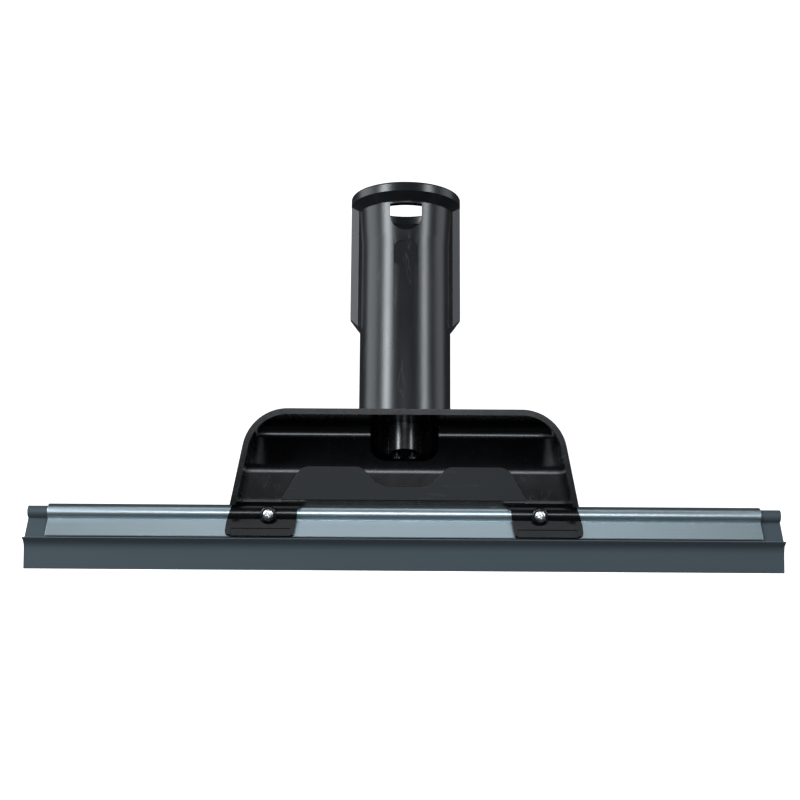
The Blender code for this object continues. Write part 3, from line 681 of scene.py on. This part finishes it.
def make_hood():
    """Steam hood: a shell open to the glass and below, a spine round the nozzle, and two ears."""
    hood = hood_block(0, HOOD_FRONT, HOOD_BOTTOM, SIDE_BOTTOM)
    seat_low = SEAT_TOP - SEAT_THICK
    spine = spun([
        (0, SEAT_TOP), *arc(0.5 * MM, pi / 2, 0, (TUBE_R - 0.5 * MM, SEAT_TOP - 0.5 * MM)),
        (TUBE_R, seat_low),
        (SPINE_R, seat_low - 1.8 * MM), *arc(7 * MM, 0, -pi / 2, (SPINE_R - 7 * MM, SPINE_END + 7 * MM)),
        (0, SPINE_END)], TUBE, 128, closed=False)
    carve(hood, "UNION", spine)
    cavity = hood_block(WALL, HOOD_FRONT - 20 * MM, HOOD_BOTTOM - 10 * MM, HOOD_BOTTOM - 12 * MM)
    shape = melted(cavity)
    alcove_low = SPINE_END + WALL
    alcove = spun([
        (0, seat_low), (SPINE_BORE_R, seat_low),
        *arc(6 * MM, 0, -pi / 2, (SPINE_BORE_R - 6 * MM, alcove_low + 6 * MM)), (0, alcove_low)],
        TUBE, 128, closed=False)
    drop = rod(NOZZLE_R + 0.4 * MM, seat_low - 4 * MM, SEAT_TOP + 4 * MM, TUBE, 96)
    carve(hood, "DIFFERENCE", shape, alcove, drop)
    ease_object(hood, 0.45 * MM, 3, radians(40), lambda p: abs(p.y - HOOD_FRONT) < 0.05 * MM)
    ease_object(hood, 0.35 * MM, 2, radians(25), lambda p: abs(hypot(p.x, (TUBE.inverted() @ p).y)
                                                              - SPINE_BORE_R) < 0.2 * MM
                and p.z < HOOD_TOP - 5 * MM)
    behind = -(SLOT_HALF + REAR_LIP_THICK + 0.3 * MM)
    way_r = BEAD_R + 0.3 * MM
    way = [*arc(way_r, web_angle(way_r, behind) - 2 * pi, web_angle(way_r, TAB_IN)),
           web_point(20 * MM, TAB_IN), web_point(20 * MM, behind)]
    for side in (-1, 1):
        front = front_view(side * SCREW_X, BEAD.y, BEAD.z)
        boss = spun([(0, BOSS_ROOT), (BOSS_R, BOSS_ROOT), (BOSS_R, BOSS_FRONT - BOSS_EDGE_R),
                     *arc(BOSS_EDGE_R, 0, pi / 2, (BOSS_R - BOSS_EDGE_R, BOSS_FRONT - BOSS_EDGE_R)),
                     (0, BOSS_FRONT)], front, 64, closed=False)
        carve(hood, "UNION", ear(side), boss)
    carve(hood, "DIFFERENCE", prism(way, 200 * MM, side_view(0, BEAD.y, BEAD.z)))
    for side in (-1, 1):
        front = front_view(side * SCREW_X, BEAD.y, BEAD.z)
        pocket = rod(HEAD_R + 0.3 * MM, HEAD_SEAT, BOSS_FRONT + 4 * MM, front, 64)
        bore = rod(SHANK_R + 0.3 * MM, 3.0 * MM, BOSS_FRONT, front, 32)
        peg = rod(PEG_R + GAP, -12 * MM, 0, front_view(side * PEG_X, BEAD.y, PANEL_LOW.z + PEG_UP), 32)
        carve(hood, "DIFFERENCE", pocket, bore, peg)
    return dress(hood, "hood_fine", hood_plastic(), "housing", "hood_plastic", "hood")


def make_baffle_panel():
    """Satin panel with its scooped top edge, on two pegs."""
    face = PANEL_LOW.y + PANEL_THICK / 2
    low, high, dip = PANEL_LOW.z, PANEL_HIGH.z, PANEL_HIGH.z - 7.9 * MM
    outline = rounded([
        (-48.8 * MM, low, 0.5 * MM), (48.8 * MM, low, 0.5 * MM), (41.0 * MM, high, 6 * MM),
        (17.5 * MM, high, 4 * MM), (9.5 * MM, dip, 10 * MM), (-9.5 * MM, dip, 10 * MM),
        (-17.5 * MM, high, 4 * MM), (-41.0 * MM, high, 6 * MM)])
    panel = solid(eased(prism(outline, PANEL_THICK, front_view(y=face)), 0.25 * MM, 3))
    for side in (-1, 1):
        peg = rod(PEG_R, -PANEL_THICK / 2 - 0.6 * MM - WALL, 0.1 * MM,
                  front_view(side * PEG_X, face, low + PEG_UP), 32)
        carve(panel, "UNION", peg)
    return dress(panel, "baffle_panel_fine", panel_plastic(), "housing", "panel_plastic", "baffle_panel")


def make_rail():
    """Aluminium rail: slotted round bead, front flange and rear lip, with softened ends."""
    front = SLOT_HALF + FLANGE_THICK
    rear = SLOT_HALF + REAR_LIP_THICK
    soft = 0.2 * MM
    outline = [
        *arc(BEAD_R, web_angle(BEAD_R, -rear) - 2 * pi, web_angle(BEAD_R, front)),
        web_point(FLANGE_END - soft, front), web_point(FLANGE_END, front - soft),
        web_point(FLANGE_END, SLOT_HALF + soft), web_point(FLANGE_END - soft, SLOT_HALF),
        *arc(BORE_R, web_angle(BORE_R, SLOT_HALF), web_angle(BORE_R, -SLOT_HALF) - 2 * pi),
        web_point(REAR_LIP_END - soft, -SLOT_HALF), web_point(REAR_LIP_END, -SLOT_HALF - soft),
        web_point(REAR_LIP_END, -rear + soft), web_point(REAR_LIP_END - soft, -rear)]
    shape = prism(outline, RAIL_HIGH.x - RAIL_LOW.x, side_view(0, BEAD.y, BEAD.z))
    eased(shape, 0.25 * MM, 3, radians(60), lambda p: abs(abs(p.x) - RAIL_HIGH.x) < 0.01 * MM)
    rail = solid(shape)
    for side in (-1, 1):
        hole = rod(SHANK_R + 0.3 * MM, 1.8 * MM, 6 * MM, front_view(side * SCREW_X, BEAD.y, BEAD.z), 32)
        carve(rail, "DIFFERENCE", hole)
    return dress(rail, "squeegee_rail_fine", rail_aluminium(), "housing", "rail_aluminium", "squeegee_rail")


def make_blade():
    """One rubber moulding: round bead, web, pointed ridge and wiping lip."""
    root = Vector((ROOT.y - BEAD.y, ROOT.z - BEAD.z))
    edge = -ROOT.z
    drift = tan(LIP_SLOPE) * edge
    end = -sin(BLADE_SLOPE) * root.x - cos(BLADE_SLOPE) * root.y

    def at(y, z):
        return root + Vector((y * MM, z * MM))

    lip = [root + Vector((drift * k - w, edge * k)) for k, w in (
        (0.35, LIP_HALF - LIP_NARROWING), (0.6, LIP_HALF - 2 * LIP_NARROWING),
        (0.985, EDGE_HALF), (1.0, EDGE_HALF - LIP_NARROWING))]
    lip_rear = [root + Vector((drift * k + w, edge * k)) for k, w in (
        (1.0, EDGE_HALF - LIP_NARROWING), (0.985, EDGE_HALF),
        (0.6, LIP_HALF - 2 * LIP_NARROWING), (0.35, LIP_HALF - LIP_NARROWING))]
    reach = RIDGE_REACH / MM
    outline = [
        *arc(RUBBER_R, web_angle(RUBBER_R, -WEB_HALF) - 2 * pi, web_angle(RUBBER_R, WEB_HALF)),
        web_point(4.5 * MM, WEB_HALF), web_point(7 * MM, WEB_HALF), web_point(9.5 * MM, WEB_HALF),
        web_point(end - 0.9 * MM, WEB_HALF), at(-0.2, 0.86), at(-0.9, 0.86), at(-1.9, 0.97),
        at(-reach + 0.45, 1.15),
        at(-reach + 0.1, 1.12), at(-reach, 0.95), at(-reach + 0.12, 0.7), at(-reach + 0.6, 0.35),
        at(-2.6, -0.15),
        at(-1.8, -0.9), at(-1.35, -1.8), at(-1.15, -2.9), *lip, *lip_rear,
        at(0.75, -2.0), at(0.8, -1.0), at(0.78, -0.2),
        web_point(end - 0.5 * MM, -WEB_HALF), web_point(end - 1.3 * MM, -WEB_HALF),
        web_point(9.5 * MM, -WEB_HALF), web_point(7 * MM, -WEB_HALF), web_point(4.5 * MM, -WEB_HALF)]
    shape = prism(outline, STRIP_HIGH.x - STRIP_LOW.x, side_view(0, BEAD.y, BEAD.z))
    blade = solid(shape)
    dress(blade, "rubber_blade", blade_rubber(), None, "blade_rubber", "blade_strip", "blade_lip")
    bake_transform(blade)
    return blade


def make_clamp_screw(side):
    """Domed head with a cross recess, on a plain shank."""
    label = "left" if side < 0 else "right"
    place = front_view(side * SCREW_X, BEAD.y, BEAD.z)
    back = HEAD_SEAT + 0.3 * MM
    top = back + HEAD_THICK
    tip = RUBBER_R + 0.3 * MM
    dome = [(1.25 * MM, top - 0.03 * MM), (1.6 * MM, top - 0.12 * MM), (1.9 * MM, top - 0.32 * MM),
            (2.06 * MM, top - 0.6 * MM), (HEAD_R, top - 0.85 * MM)]
    screw = solid(spun([(0, top), *dome, (HEAD_R, back), (SHANK_R, back), (SHANK_R, tip + 0.3 * MM),
                        (SHANK_R - 0.3 * MM, tip), (0, tip)], place, 72, closed=False))
    for turn in (20, 110):
        slot = block((-1.05 * MM, -0.22 * MM, top - 0.75 * MM), (1.05 * MM, 0.22 * MM, top + 1 * MM),
                     place @ Matrix.Rotation(radians(turn), 4, "Z"))
        carve(screw, "DIFFERENCE", slot)
    hub = block((-0.42 * MM, -0.42 * MM, top - 0.95 * MM), (0.42 * MM, 0.42 * MM, top + 1 * MM),
                place @ Matrix.Rotation(radians(65), 4, "Z"))
    carve(screw, "DIFFERENCE", hub)
    return dress(screw, "clamp_screw_" + label + "_fine", screw_steel(place.translation),
                 label + "_screw", "screw_steel", "clamp_screw_" + label)


# --- stage, light and camera --------------------------------------------------------------------
def make_stage():
    """Pale floor that curves up into a backdrop."""
    shape = bmesh.new()
    bend = [(0.9 + 0.7 * sin(a), 0.7 - 0.7 * cos(a)) for a in [radians(10 * k) for k in range(1, 10)]]
    ring = [shape.verts.new((-4, y, z)) for y, z in [(-3.0, 0), (0.9, 0), *bend, (1.6, 3.0)]]
    edges = [shape.edges.new(pair) for pair in zip(ring, ring[1:])]
    grown = bmesh.ops.extrude_edge_only(shape, edges=edges)["geom"]
    bmesh.ops.translate(shape, verts=[v for v in grown if isinstance(v, bmesh.types.BMVert)], vec=(8, 0, 0))
    bmesh.ops.recalc_face_normals(shape, faces=shape.faces)
    stage = solid(shape, "floor")
    paint = Paint("pale_floor", Emission_Color=(1.0, 1.0, 1.0, 1.0), Emission_Strength=0.9)
    cloud = paint.noise(3, 3.0)
    colour = paint.mix(cloud, grey(0.80), grey(0.84))
    stage.data.materials.append(paint.finish(colour, 0.7 + cloud * 0.1, paint.noise(300, 2.0), 0.01 * MM))
    stage.data.shade_smooth()
    stage.visible_glossy = False
    stage.visible_diffuse = False


AIM = Vector((0, BEAD.y, 0.06))
LIGHT_COLOUR = (0.89, 0.95, 1.0)
SOFTBOXES = (           # name, azimuth, elevation, distance, size, glow
    ("left_strip", -50, 21, 1.1, (0.30, 0.72), 18),
    ("right_strip", 53, 21, 1.1, (0.22, 0.72), 13),
    ("left_panel", -97, 15, 1.3, (0.80, 1.0), 2.8),
    ("right_panel", 100, 15, 1.3, (0.65, 1.0), 1.6),
    ("top_panel", 0, 68, 1.4, (0.9, 0.36), 1.3),
    ("front_strip", 0, 8, 1.5, (0.60, 0.24), 12.0))
FOCAL = 1395            # in units of a frame 800 wide
CAMERA_X = -1.93 * MM
CAMERA_AHEAD = 0.550
CAMERA_Z = 0.0665
CAMERA_ROLL = radians(0.37)


def softbox(name, azimuth, elevation, distance, size, glow):
    """A soft rectangular light that faces the object, as bright as its glow says.

    The azimuth runs from the front (-Y), positive towards +X."""
    turn, rise = radians(azimuth), radians(elevation)
    way = Vector((sin(turn) * cos(rise), -cos(turn) * cos(rise), sin(rise)))
    data = bpy.data.lights.new(name, "AREA")
    data.shape = "RECTANGLE"
    data.size, data.size_y = size
    data.energy = glow * pi * size[0] * size[1]
    data.color = LIGHT_COLOUR
    lamp = bpy.data.objects.new(name, data)
    bpy.context.scene.collection.objects.link(lamp)
    lamp.location = AIM + way * distance
    lamp.rotation_euler = (-way).to_track_quat("-Z", "Y").to_euler()
    return lamp


def light_scene():
    """Dim surround, strips at the sides and in front, and soft panels beside and above."""
    world = bpy.data.worlds.new("studio")
    bpy.context.scene.world = world
    world.use_nodes = True
    world.node_tree.nodes["Background"].inputs["Color"].default_value = (0.94, 0.97, 1.0, 1.0)
    world.node_tree.nodes["Background"].inputs["Strength"].default_value = 0.05
    for settings in SOFTBOXES:
        softbox(*settings)


def make_camera():
    """Level camera in front of the blade, at the height of the hood's rim."""
    data = bpy.data.cameras.new("camera")
    data.sensor_width = 36.0
    data.lens = 36.0 * FOCAL / 800
    data.clip_start = 0.01
    camera = bpy.data.objects.new("camera", data)
    bpy.context.scene.collection.objects.link(camera)
    camera.matrix_world = (Matrix.Translation((CAMERA_X, BEAD.y - CAMERA_AHEAD, CAMERA_Z))
                           @ Matrix.Rotation(pi / 2, 4, "X") @ Matrix.Rotation(CAMERA_ROLL, 4, "Z"))
    bpy.context.scene.camera = camera


def main():
    make_camera()
    light_scene()
    make_stage()
    make_coupling_tube()
    make_steam_pipe()
    make_steam_nozzle()
    make_hood()
    make_baffle_panel()
    make_rail()
    make_blade()
    make_clamp_screw(-1)
    make_clamp_screw(1)
    bpy.context.scene.view_settings.view_transform = "Standard"


main()
